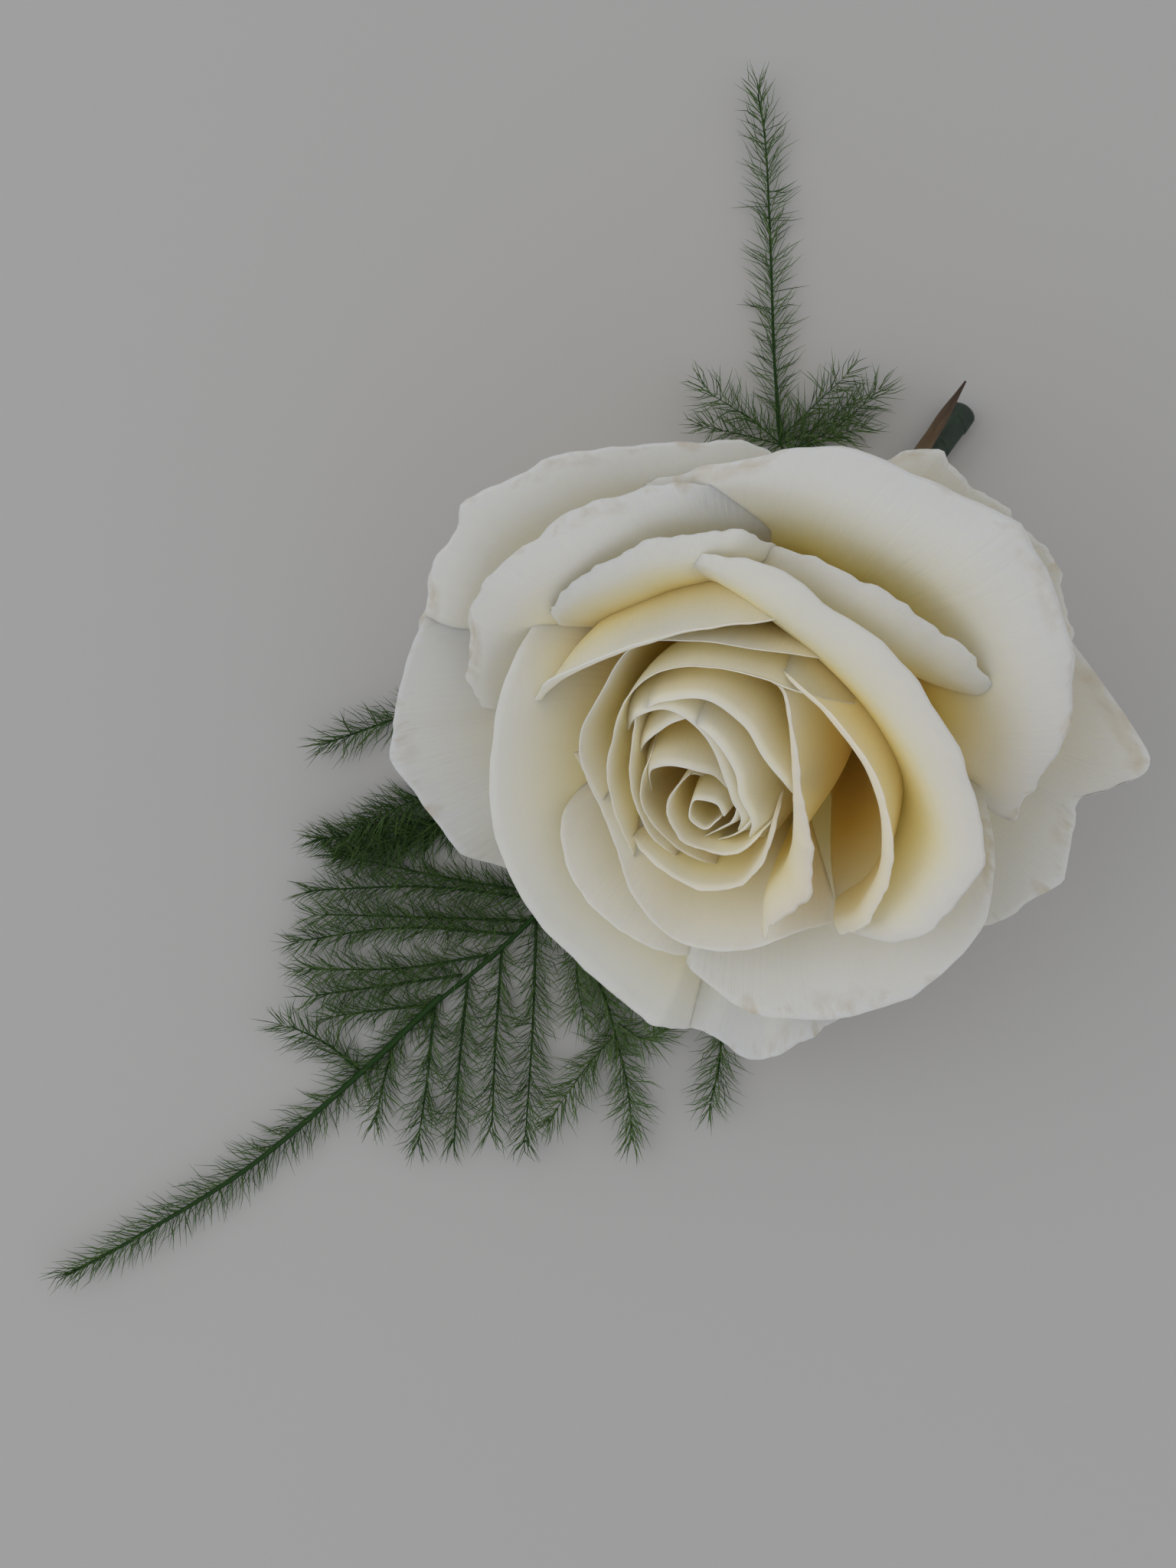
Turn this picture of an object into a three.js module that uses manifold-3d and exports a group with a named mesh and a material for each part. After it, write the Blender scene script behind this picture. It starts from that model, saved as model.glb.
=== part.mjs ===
// A buttonhole posy lying on its side: one open cream rose on a short taped stem, with sprigs of fern.
// Millimetres, +Z up, the table at z = 0, the origin under the middle of the whole posy.
import * as THREE from "three";
import { mergeVertices } from "three/addons/utils/BufferGeometryUtils.js";
import Module from "manifold-3d";

const wasm = await Module();
wasm.setup();

// Driving dimensions.
const FLOWER_HEIGHT = 14; // foot of the petals above the table
const FLOWER_TILT = 31; // lean of the flower's axis from upright, degrees
const FLOWER_TURN = 237; // side it leans to, degrees round from +X
const PETAL_THICKNESS = 0.5;
const GAP = 0.3; // clearance between pieces that touch
const HIP_RADIUS = 7.5;
const HIP_HALF_LENGTH = 6.5;
const HIP_MIDDLE = -4.5; // middle of the hip, along the flower's axis from the foot of the petals
const SEPAL_THICKNESS = 0.8;
const STEM_RADIUS = 1.5;
const TAPE_RADIUS = 2.2;
const FERN_STALK_RADIUS = 0.6;
const FERN_THICKNESS = 1.2;

// Materials.
const petalCream = new THREE.MeshStandardMaterial({ color: 0xebe6d6, roughness: 0.6 });
const petalHeart = new THREE.MeshStandardMaterial({ color: 0xe3d6ae, roughness: 0.6 });
const hipGreen = new THREE.MeshStandardMaterial({ color: 0x6f8050, roughness: 0.6 });
const sepalOlive = new THREE.MeshStandardMaterial({ color: 0x5f5734, roughness: 0.7 });
const stemGreen = new THREE.MeshStandardMaterial({ color: 0x55683c, roughness: 0.6 });
const tapeGreen = new THREE.MeshStandardMaterial({ color: 0x1f3a26, roughness: 0.5 });
const fernGreen = new THREE.MeshStandardMaterial({ color: 0x3f5238, roughness: 0.7 });

const radians = THREE.MathUtils.degToRad;
const mix = THREE.MathUtils.lerp;

// A point in the flower's own frame: turn round the axis, reach out from it, height along it.
function flowerPoint(turn, reach, height) {
  const angle = radians(turn);
  return new THREE.Vector3(reach * Math.cos(angle), reach * Math.sin(angle), height);
}

// The value at u (0 to 1) along a row of evenly spaced values.
function along(values, u) {
  const place = u * (values.length - 1);
  const step = Math.min(Math.floor(place), values.length - 2);
  return values.length === 1 ? values[0] : mix(values[step], values[step + 1], place - step);
}

function geometryOf(points, triangles) {
  const geometry = new THREE.BufferGeometry().setFromPoints(points);
  geometry.setIndex(triangles);
  return geometry;
}

function solidOf(geometry) {
  const bare = geometry.clone();
  bare.deleteAttribute("normal");
  bare.deleteAttribute("uv");
  const merged = mergeVertices(bare, 1e-4);
  const vertProperties = new Float32Array(merged.attributes.position.array);
  const triVerts = new Uint32Array(merged.index.array);
  const solid = new wasm.Manifold(new wasm.Mesh({ numProp: 3, vertProperties, triVerts }));
  if (solid.volume() > 0) return solid;
  for (let i = 0; i < triVerts.length; i += 3) {
    triVerts.subarray(i, i + 2).reverse();
  }
  return new wasm.Manifold(new wasm.Mesh({ numProp: 3, vertProperties, triVerts }));
}

function largestPiece(solid) {
  return solid.decompose().reduce((a, b) => (b.volume() > a.volume() ? b : a));
}

function meshOf(name, solid, material) {
  const { numProp, numVert, vertProperties, triVerts } = solid.getMesh();
  const points = [];
  for (let i = 0; i < numVert; i++) {
    points.push(new THREE.Vector3().fromArray(vertProperties, i * numProp));
  }
  const geometry = geometryOf(points, Array.from(triVerts));
  geometry.computeVertexNormals();
  const mesh = new THREE.Mesh(geometry, material);
  mesh.name = name;
  return mesh;
}

// A thin sheet with a skin on both sides of surface(u, v), and its edges grown by margin.
function sheetSolid(surface, across, up, thickness, margin = 0) {
  const points = [];
  const step = 1e-3;
  for (const side of [-0.5, 0.5]) {
    for (let j = 0; j <= up; j++) {
      for (let i = 0; i <= across; i++) {
        const u = i / across;
        const v = j / up;
        const point = surface(u, v);
        const alongU = surface(Math.min(u + step, 1), v).sub(surface(Math.max(u - step, 0), v)).normalize();
        const alongV = surface(u, Math.min(v + step, 1)).sub(surface(u, Math.max(v - step, 0))).normalize();
        const normal = new THREE.Vector3().crossVectors(alongU, alongV).normalize();
        point.addScaledVector(normal, side * thickness);
        if (i === 0 || i === across) point.addScaledVector(alongU, i ? margin : -margin);
        if (j === 0 || j === up) point.addScaledVector(alongV, j ? margin : -margin);
        points.push(point);
      }
    }
  }
  const row = across + 1;
  const sheet = row * (up + 1);
  const triangles = [];
  const quad = (a, b, c, d) => triangles.push(a, b, c, a, c, d);
  for (let j = 0; j < up; j++) {
    for (let i = 0; i < across; i++) {
      const a = j * row + i;
      quad(a, a + row, a + row + 1, a + 1);
      quad(sheet + a, sheet + a + 1, sheet + a + row + 1, sheet + a + row);
    }
    const left = j * row;
    const right = left + across;
    quad(left, sheet + left, sheet + left + row, left + row);
    quad(right, right + row, sheet + right + row, sheet + right);
  }
  const top = up * row;
  for (let i = 0; i < across; i++) {
    quad(i, i + 1, sheet + i + 1, sheet + i);
    quad(top + i, sheet + top + i, sheet + top + i + 1, top + i + 1);
  }
  return solidOf(geometryOf(points, triangles));
}

// A round tube, or where a thickness is given a flat blade, along a path: half widths go from foot to tip.
function taperedSolid(path, halfWidths, thickness, sides = 6, steps = 8) {
  const curve = new THREE.CatmullRomCurve3(path.map((p) => new THREE.Vector3(...p)));
  const points = [];
  for (let j = 0; j <= steps; j++) {
    const t = j / steps;
    const forward = curve.getTangentAt(t);
    const sideways = new THREE.Vector3(0, 0, 1).cross(forward).normalize();
    const upwards = new THREE.Vector3().crossVectors(forward, sideways);
    const half = along(halfWidths, t);
    const high = thickness ? Math.min(half, thickness / 2) : half;
    for (let i = 0; i < sides; i++) {
      const angle = (2 * Math.PI * i) / sides;
      const point = curve.getPointAt(t);
      point.addScaledVector(sideways, half * Math.cos(angle));
      points.push(point.addScaledVector(upwards, high * Math.sin(angle)));
    }
  }
  const triangles = [];
  for (let i = 0; i < sides; i++) {
    const next = (i + 1) % sides;
    for (let j = 0; j < steps; j++) {
      const a = j * sides;
      triangles.push(a + i, a + next, a + sides + next, a + i, a + sides + next, a + sides + i);
    }
    if (i > 0 && i < sides - 1) {
      const end = steps * sides;
      triangles.push(0, next, i, end, end + i, end + next);
    }
  }
  return solidOf(geometryOf(points, triangles));
}

// The rose's petals, from the heart outwards. Each has its crest, as stations of turn, reach and height, the
// stretch of receptacle that it grows from, how it leans there and along its crest, and its rolled lip.
const petals = [
  { name: "bud_petal_1", rim: [[300, 1.8, 45.5], [255, 3.2, 46], [210, 3.2, 46.5], [150, 2.4, 47],
    [60, 1.6, 47.5], [-15, 1.8, 47]],
    base: [290, -10], lean: [5, -8] },
  { name: "bud_petal_2", rim: [[255, 6, 43], [296, 3, 46], [350, 3, 47], [390, 4, 47], [408, 4, 46]],
    base: [260, 410], lean: [5, -22] },
  { name: "bud_petal_3", rim: [[272, 6, 43], [316, 4.5, 46], [350, 5, 47], [374, 5.5, 47], [396, 5, 46]],
    base: [270, 400], lean: [5, -22] },
  { name: "bud_petal_4", rim: [[130, 3, 42], [128, 5, 45.5], [180, 5.5, 46], [215, 6, 45.5],
    [250, 6.5, 45], [300, 6.5, 46], [345, 7, 46], [358, 8, 43]],
    base: [125, 355], lean: [5, 0], lip: [0.3, 0.6, 0.3], roll: [60] },
  { name: "bud_petal_5", rim: [[200, 10, 39], [162, 9, 44.5], [142, 8.5, 47], [125, 7.5, 48], [105, 6, 48],
    [85, 5, 47], [57, 3, 45]],
    base: [190, 40], lean: [6, -25] },
  { name: "bud_petal_6", rim: [[145, 11, 38], [148, 10, 43.5], [165, 9.5, 44.5], [187, 9.5, 44.5],
    [212, 9, 44], [238, 9, 43.5], [262, 10, 42], [272, 13, 36]],
    base: [135, 280], lean: [7, 0], lip: [0.3], roll: [40] },
  { name: "bud_petal_7", rim: [[170, 11.5, 39], [143, 11.5, 44.5], [126, 12, 46.5], [110, 13, 48],
    [95, 13.5, 48], [85, 11, 45]],
    base: [180, 60], lean: [8, -25] },
  { name: "bud_petal_8", rim: [[153, 14, 40], [130, 15, 46.5], [112, 15, 48.5], [98, 13, 49.5],
    [86, 10, 49.5], [68, 6, 49], [40, 4, 48.5], [0, 4, 47.5], [-45, 4.5, 45]],
    base: [150, -40], lean: [8, -35] },
  { name: "bud_petal_9", rim: [[111, 14, 46.5], [98, 13, 49], [86, 11.5, 50], [74, 9.5, 50],
    [60, 7.5, 49.5], [40, 5.5, 49], [0, 5.5, 48], [-40, 6, 45]],
    base: [120, -50], lean: [9, -35] },
  { name: "heart_petal_1", rim: [[149, 14, 40], [123, 15.5, 47], [107, 16.5, 49.5], [90, 16.5, 50],
    [72, 14.5, 50], [53, 12, 50], [30, 11.5, 49], [0, 11, 42]],
    base: [150, -20], lean: [9, -25] },
  { name: "heart_petal_2", rim: [[128, 16, 38], [128, 16, 44], [140, 13.5, 45], [160, 11.5, 45],
    [185, 10.5, 44.5], [215, 10.5, 43.5], [232, 10.5, 43], [249, 13, 38]],
    base: [120, 250], lean: [10, 5], lip: [0.3], roll: [30] },
  { name: "heart_petal_3", rim: [[372, 8, 40], [363, 8, 45], [335, 8, 46], [310, 9, 46], [285, 11, 45],
    [255, 12, 44.5], [228, 12.5, 43.5], [217, 15, 39]],
    base: [370, 210], lean: [10, 5], lip: [0.6, 1.4, 1, 0.4], roll: [60] },
  { name: "heart_petal_4", rim: [[70, 18, 42], [63, 20, 48], [50, 16, 49], [30, 12.5, 49], [8, 11, 48],
    [-14, 11, 47], [-36, 11.8, 46], [-58, 13.5, 45], [-70, 18, 42]],
    base: [75, -75], lean: [45, -22, -22, -15, 5, 12],
    lip: [0.6, 1.6, 2.2, 3.2, 4.8, 6.2, 5, 3], roll: [100, 115, 85] },
  { name: "heart_petal_5", rim: [[43, 23, 42], [55, 22, 47], [75, 20.5, 48], [95, 20.5, 49],
    [112, 19.5, 48], [130, 17.5, 46.5], [152, 15, 45], [175, 14, 44.5], [200, 13.5, 43.5], [227, 17, 39]],
    base: [40, 235], lean: [20, -15, -15, -5, 5, 10],
    lip: [2, 1.8, 0.6, 0.3, 0.3, 0.3, 0.3, 0.3], roll: [40] },
  { name: "heart_petal_6", rim: [[71, 20, 42], [63, 22, 48], [48, 22, 49], [28, 22, 49], [8, 22, 48.5],
    [-11, 22, 46.5], [-25, 22, 45], [-38, 22.5, 43], [-50, 23, 38]],
    base: [70, -60], lean: [48, -15, -15, -5, 12], lip: [0.6, 2.4, 2.8, 3.2, 2.6], roll: [90] },
  { name: "cup_petal_1", rim: [[52, 25, 40], [61, 25.5, 46], [75, 24, 48], [95, 23.2, 48.3],
    [115, 23.3, 47.3], [135, 20, 46], [155, 19, 44.5], [170, 18, 43.5], [185, 16.5, 42], [200, 16.5, 38]],
    base: [50, 210], lean: [30, 5, 0, 5, 12, 15], lip: [0.3], roll: [30] },
  { name: "cup_petal_2", rim: [[169, 27, 34], [151, 25, 42], [130, 24, 46], [108, 24.5, 48], [88, 26, 48],
    [73, 28, 46], [64, 28, 39]],
    base: [165, 55], lean: [52, 0, -22, -25, -20], lip: [0.3, 3.4, 3.4, 2.2, 1.5, 1], roll: [70] },
  { name: "cup_petal_3", rim: [[182, 21, 34], [186, 18, 39], [205, 16, 41], [222, 17.5, 41],
    [239, 20.5, 41], [258, 23.2, 41], [281, 22.5, 41], [299, 21.5, 40.5], [309, 24, 36]],
    base: [180, 310], lean: [20, 40], lip: [0.5], roll: [30] },
  { name: "cup_petal_4", rim: [[198, 22, 30], [203, 24, 36], [216, 25.5, 39], [230, 26.4, 39.5],
    [242, 26.8, 39.3], [254, 27.4, 38], [262, 29, 33]],
    base: [195, 268], lean: [24, 45], lip: [0.5], roll: [30] },
  { name: "cup_petal_5", rim: [[140, 29, 37], [133, 30, 41.5], [119, 30.5, 45], [105, 32, 46.5],
    [92, 33.5, 47], [84, 34, 46], [79, 31, 40]],
    base: [155, 65], lean: [50, 42, 40, 34], lip: [0.5, 2.7, 3.9, 4.1, 3.9, 3], roll: [82] },
  { name: "cup_petal_6", rim: [[98, 31.5, 44], [91, 33, 48.5], [78, 30.5, 50], [55, 28, 50], [30, 28, 50],
    [5, 29, 48], [-15, 28, 46], [-32, 26, 43.5], [-50, 24, 37]],
    base: [100, -55], lean: [48, 36, 38, 40, 42, 44],
    lip: [0.3, 2, 5.8, 7, 6.6, 5.8, 4.8, 4, 2], roll: [76, 84, 76, 64, 55] },
  { name: "cup_petal_7", rim: [[88, 30, 37], [80, 31.3, 43], [66, 31, 45], [53, 31, 45], [41, 32.5, 43.5],
    [31, 34, 40], [24, 34, 34]],
    base: [85, 20], lean: [52, 44, 44], lip: [2.3, 4.2, 6.4, 7.2, 6.4, 4.2, 2], roll: [70] },
  { name: "cup_petal_8", rim: [[139, 29, 28], [140, 31, 35], [155, 30, 40], [180, 30, 40], [205, 32, 39],
    [225, 34, 38], [240, 35, 37], [254, 38.5, 36.5], [259, 39.5, 35], [263, 43, 28]],
    base: [140, 265], lean: [36, 55], lip: [0.8, 1.2, 2, 1.5], roll: [40] },
  { name: "outer_petal_1", rim: [[179, 34, 28], [162, 34, 35], [140, 34.5, 41], [118, 35, 44],
    [101, 36.5, 44], [90, 35.5, 41], [83, 33, 35]],
    base: [175, 78], lean: [52, 52, 50, 48], lip: [2.5, 4.2, 6.1, 6.5, 5.7, 3.3], roll: [52] },
  { name: "outer_petal_2", rim: [[0, 29, 26], [-4, 32.5, 35], [-15, 35, 38], [-35, 36.8, 38],
    [-54, 36, 38], [-70, 35.3, 37], [-85, 33, 37], [-98, 29, 37], [-101, 29, 33]],
    base: [5, -105], lean: [36, 58], lip: [1], roll: [40] },
  { name: "outer_petal_3", rim: [[109, 38, 34], [98, 40, 41.5], [80, 41.5, 43], [60, 40, 42], [42, 38, 40],
    [22, 36, 38], [8, 34, 35], [-8, 33, 28]],
    base: [105, -15], lean: [54, 54, 52, 54, 55],
    lip: [0.5, 2.2, 5.6, 11.2, 14.4, 12.4, 8.4, 5.4, 3], roll: [50] },
  { name: "outer_petal_4", rim: [[156, 42, 14], [158, 43, 24], [165, 45.2, 30], [178, 46.4, 32],
    [186, 47.6, 31], [197, 46, 30], [208, 44, 28], [220, 44, 18]],
    base: [150, 225], lean: [44, 62], lip: [0.8], roll: [35] },
  { name: "outer_petal_5", rim: [[182, 43, 18], [160, 41, 29], [137, 41, 34], [114, 40, 36], [91, 38, 33],
    [80, 35, 25]],
    base: [180, 75], lean: [58, 57, 52],
    lip: [3.2, 5.2, 5.6, 5.6, 5.6, 7.2, 7, 6.6, 6.4, 6.6, 5.4, 3.2], roll: [36] },
  { name: "outer_petal_6", rim: [[248, 48, 22], [257, 44, 29], [266, 42, 32], [275, 45, 32], [284, 42, 31],
    [289, 41, 29], [296, 43, 22]],
    base: [235, 300], lean: [46, 64], lip: [0.8], roll: [35] },
  { name: "outer_petal_7", rim: [[74, 34, 16], [64, 40, 26], [52, 42, 28], [40, 42, 26.5], [21, 38, 18]],
    base: [80, 10], lean: [60, 35], lip: [3, 7, 12, 8.5, 8.5, 9, 8, 6], roll: [45] },
  { name: "outer_petal_8", rim: [[28, 38, 8], [18, 43.5, 18], [4, 50.5, 24], [-1, 47, 24.5],
    [-4, 42.4, 25], [-9, 43, 25.5], [-17, 43.5, 26], [-24, 42, 26], [-33, 41, 23], [-44, 41, 17]],
    base: [30, -50], lean: [56, 60], lip: [0.8], roll: [35] },
  { name: "outer_petal_9", rim: [[211, 47, 14], [219, 47, 16], [230, 47, 19], [241, 47, 19], [250, 47, 17],
    [256, 46, 15]],
    base: [205, 262], lean: [50, 60], lip: [0.5], roll: [30] },
];

const PETAL_COLUMNS = 6;
const PETAL_ROWS = 4;
const LIP_SHARE = 1 / 4; // share of the rows that the rolled lip takes
const CLAW = 0.5; // width of a petal's foot, as a share of the turn that its crest covers
const FOOT_RADII = [1.2, 6.8]; // of the innermost and the outermost petal
const FOOT_RISE = 0.6; // foot of a petal above the hip's skin
const FOOT_FLARE = 0.4; // length along which a petal keeps the lean of its foot, as a share of its own
const CREST_DROP = 0.35; // length along which it keeps the lean of its crest, as a share of its own

// Petal number order: a curved profile from the receptacle to the crest, then the lip's arc outwards.
function petalSurface(petal, order) {
  const stations = petal.rim.map((station) => flowerPoint(...station));
  const crest = new THREE.CatmullRomCurve3(stations, false, "catmullrom");
  const footRadius = mix(...FOOT_RADII, order / (petals.length - 1));
  const hipSkin = HIP_MIDDLE + HIP_HALF_LENGTH * Math.sqrt(1 - (footRadius / HIP_RADIUS) ** 2);
  const [footLean, ...crestLeans] = petal.lean.map(radians);
  const bodyShare = petal.lip ? 1 - LIP_SHARE : 1;
  return (u, v) => {
    const outwards = flowerPoint(mix(...petal.base, u), 1, 0);
    const slope = (lean) => outwards.clone().multiplyScalar(Math.sin(lean)).setZ(Math.cos(lean));
    const footTurn = mix(...petal.base, 0.5 + CLAW * (u - 0.5));
    const foot = flowerPoint(footTurn, footRadius, hipSkin + FOOT_RISE);
    const top = crest.getPoint(u);
    const crestLean = along(crestLeans, u);
    if (v <= bodyShare) {
      const length = foot.distanceTo(top);
      const low = foot.clone().addScaledVector(slope(footLean), FOOT_FLARE * length);
      const high = top.clone().addScaledVector(slope(crestLean), -CREST_DROP * length);
      return new THREE.CubicBezierCurve3(foot, low, high, top).getPoint(v / bodyShare);
    }
    const roll = radians(along(petal.roll, u));
    const turned = (roll * (v - bodyShare)) / (1 - bodyShare);
    const radius = along(petal.lip, u) / roll;
    return top
      .addScaledVector(slope(crestLean), radius * Math.sin(turned))
      .addScaledVector(slope(crestLean + Math.PI / 2), radius * (1 - Math.cos(turned)));
  };
}

// Five sepals under the petals, as stations of turn, reach and height; the first bends back over the stem.
const SEPAL_HALF_WIDTHS = [2.6, 3, 2.4, 1.2, 0.9, 0.4];
const sepals = [
  [[57, 7.6, -4], [60, 15, -12], [61.6, 26, -22.9], [61.8, 38.8, -29.7]],
  [[129, 7.6, -4], [129, 15, -4.5], [129, 24, -8], [129, 32, -14]],
  [[201, 7.6, -4], [201, 15, -4], [201, 24, -1.5], [201, 32, 3]],
  [[273, 7.6, -4], [273, 15, -4], [273, 24, -1.5], [273, 32, 3]],
  [[345, 7.6, -4], [345, 15, -4.5], [345, 24, -8], [345, 32, -14]],
];

// The stem leaves the hip, bends down and lies on the table; tape binds its outer part and closes its end.
const stemPath = [[3.4, 5.2, 3.7], [5.4, 8.3, 2.6], [9.5, 14.3, 2.2], [18, 26.4, 2.2], [26.6, 37.5, 2.2]];
const tapePath = [[9, 13.6, 2.2], [18, 26.4, 2.2], [27.2, 38.4, 2.2]];

// Fern sprigs flat on the table. A sprig is a thin stalk from the tape, a spike of needles at its end and
// side branchlets; every line is a list of x, y, and the spikes and branchlets are flat blades of needles.
const NEEDLE_SPREAD = 2.6; // half width of a branchlet with its needles
const sprigs = [
  {
    name: "fern_frond_left",
    stalk: [[7, 14], [-13, -9], [-36, -36], [-53, -51], [-62, -59.5]],
    spike: [[-53, -51], [-78, -73], [-105, -89]],
    branchlets: [
      [[-35, -35], [-66, -27]],
      [[-36, -36], [-69, -33]],
      [[-39, -39], [-71, -40]],
      [[-47, -45], [-69, -46]],
      [[-51, -49.5], [-65, -50.6]],
      [[-62, -59], [-72, -52.5]],
      [[-36, -36], [-36, -55], [-37.6, -69]],
      [[-41, -40.5], [-42.5, -67.5]],
      [[-46, -45], [-48, -69]],
      [[-51, -49.5], [-53.4, -70]],
      [[-57, -55], [-59, -66]],
    ],
  },
  {
    name: "fern_frond_bottom",
    stalk: [[9, 9], [-13, -16], [-27, -40], [-25, -50]],
    spike: [[-30, -40], [-25, -50], [-22, -68]],
    branchlets: [
      [[-24.7, -54], [-34, -66]],
      [[-24, -52], [-17, -53]],
    ],
  },
  {
    name: "fern_tip_bottom",
    stalk: [[13.5, 13], [-2, -22], [-9, -48]],
    spike: [[-9, -46], [-9, -57], [-10, -65]],
  },
  {
    name: "fern_tip_left",
    stalk: [[12, 21.5], [-20, 8], [-52, -6]],
    spike: [[-49, -5], [-60, -8.5], [-67, -11]],
  },
  {
    name: "fern_clump_left",
    stalk: [[9.5, 18], [-20, -6], [-46, -21]],
    spike: [[-42, -19], [-55, -24], [-68, -24]],
  },
  {
    name: "fern_frond_top",
    stalk: [[15.5, 26.5], [4, 29], [0, 33], [-1, 46]],
    spike: [[0, 33], [-1.5, 56], [-4, 87]],
    branchlets: [
      [[0, 33], [-12, 41]],
      [[0, 33], [-12, 36]],
      [[0, 33], [9.5, 43]],
      [[0, 33], [14, 40]],
      [[1, 32], [11, 35.5]],
    ],
  },
];

const part = new THREE.Group();
const posy = new THREE.Group();
part.add(posy);

// The flower's own frame: z along its axis, x as near +X as the tilt allows.
const axis = new THREE.Vector3(
  Math.sin(radians(FLOWER_TILT)) * Math.cos(radians(FLOWER_TURN)),
  Math.sin(radians(FLOWER_TILT)) * Math.sin(radians(FLOWER_TURN)),
  Math.cos(radians(FLOWER_TILT)),
);
const flowerX = new THREE.Vector3(1, 0, 0).addScaledVector(axis, -axis.x).normalize();
const flowerY = new THREE.Vector3().crossVectors(axis, flowerX);
const flower = new THREE.Matrix4().makeBasis(flowerX, flowerY, axis).setPosition(0, 0, FLOWER_HEIGHT);
const leaned = (solid) => solid.transform(flower.toArray());

const LEAST_OVERLAP = 0.004; // mm3, less than this isn't worth a cut
function overlap(a, b) {
  const common = a.intersect(b);
  const volume = common.volume();
  common.delete();
  return volume > LEAST_OVERLAP;
}

// Pieces are added in the order of assembly, and each is trimmed clear of those already there.
const taken = [];
function addPiece(name, material, shape) {
  let solid = shape(0);
  for (const other of taken) {
    if (overlap(solid, other)) solid = largestPiece(solid.subtract(other));
  }
  posy.add(meshOf(name, solid, material));
  taken.push(shape(GAP), solid);
}

addPiece("rose_hip", hipGreen, (grow) => {
  const ball = new THREE.SphereGeometry(1, 16, 10).rotateX(Math.PI / 2);
  ball.scale(HIP_RADIUS + grow, HIP_RADIUS + grow, HIP_HALF_LENGTH + grow);
  return leaned(solidOf(ball.translate(0, 0, HIP_MIDDLE)));
});

const HEART_PETALS = 15;
petals.forEach((petal, order) => {
  const surface = petalSurface(petal, order);
  const material = order < HEART_PETALS ? petalHeart : petalCream;
  addPiece(petal.name, material, (grow) =>
    leaned(sheetSolid(surface, PETAL_COLUMNS, PETAL_ROWS, PETAL_THICKNESS + 2 * grow, grow)),
  );
});

addPiece("stem", stemGreen, (grow) => taperedSolid(stemPath, [STEM_RADIUS + grow], 0, 10));
addPiece("florist_tape", tapeGreen, (grow) => taperedSolid(tapePath, [TAPE_RADIUS + grow], 0, 12, 10));

sepals.forEach((stations, number) => {
  const path = stations.map((station) => flowerPoint(...station).toArray());
  addPiece(`sepal_${number + 1}`, sepalOlive, (grow) =>
    leaned(taperedSolid(path, SEPAL_HALF_WIDTHS.map((half) => half + grow), SEPAL_THICKNESS + 2 * grow)),
  );
});

sprigs.forEach(({ name, stalk, spike, branchlets = [] }) => {
  const level = (line) => line.map(([x, y]) => [x, y, FERN_THICKNESS / 2]);
  addPiece(name, fernGreen, (grow) => {
    const blade = (line) =>
      taperedSolid(
        level(line),
        [0.5, 1, 1, 1, 0.3].map((share) => share * NEEDLE_SPREAD + grow),
        FERN_THICKNESS + 2 * grow,
        4,
        4,
      );
    let sprig = taperedSolid(level(stalk), [FERN_STALK_RADIUS + grow], 0);
    for (const line of [spike, ...branchlets]) sprig = sprig.add(blade(line));
    return sprig;
  });
});

// The origin goes under the middle of the posy, on the table.
const bounds = new THREE.Box3().setFromObject(posy);
const middle = bounds.getCenter(new THREE.Vector3());
posy.position.set(-middle.x, -middle.y, -bounds.min.z);

export default part;
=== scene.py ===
import math

import bpy
import numpy as np
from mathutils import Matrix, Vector


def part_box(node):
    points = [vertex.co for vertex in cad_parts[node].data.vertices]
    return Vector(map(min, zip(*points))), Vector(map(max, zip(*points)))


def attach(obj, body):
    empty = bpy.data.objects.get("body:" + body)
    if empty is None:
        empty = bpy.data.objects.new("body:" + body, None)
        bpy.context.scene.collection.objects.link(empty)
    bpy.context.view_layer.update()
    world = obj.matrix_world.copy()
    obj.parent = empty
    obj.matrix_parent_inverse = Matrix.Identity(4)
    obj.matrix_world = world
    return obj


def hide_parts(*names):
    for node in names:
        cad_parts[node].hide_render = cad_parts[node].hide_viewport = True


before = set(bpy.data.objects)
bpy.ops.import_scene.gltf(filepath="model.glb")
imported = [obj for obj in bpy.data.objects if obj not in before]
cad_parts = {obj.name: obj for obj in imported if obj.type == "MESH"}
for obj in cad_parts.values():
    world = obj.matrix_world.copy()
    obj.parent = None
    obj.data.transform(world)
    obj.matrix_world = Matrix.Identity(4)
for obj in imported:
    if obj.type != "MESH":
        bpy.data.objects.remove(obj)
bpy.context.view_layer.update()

# ------------------------------------------------------------------------------------------------------------
# Where the flower sits. The hip is a ball about the flower's axis, so the middle of its box gives the foot
# of the petals. The axis leans down to the lower left. Lengths are in millimetres until a mesh is made.
MM = 0.001
LEAN = math.radians(31)
LEAN_TURN = math.radians(237)
HIP_MIDDLE = -4.5
axis = np.array([math.sin(LEAN) * math.cos(LEAN_TURN), math.sin(LEAN) * math.sin(LEAN_TURN), math.cos(LEAN)])
flower_x = np.array([1.0, 0.0, 0.0]) - axis[0] * axis
flower_x /= np.linalg.norm(flower_x)
flower_y = np.cross(axis, flower_x)
hip_low, hip_high = (np.array(corner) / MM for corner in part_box("rose_hip"))
flower_foot = (hip_low + hip_high) / 2 - HIP_MIDDLE * axis


def leaned(points):
    """Points in the flower's own frame, laid over to where the flower lies."""
    return flower_foot + points[..., :1] * flower_x + points[..., 1:2] * flower_y + points[..., 2:3] * axis


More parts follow.
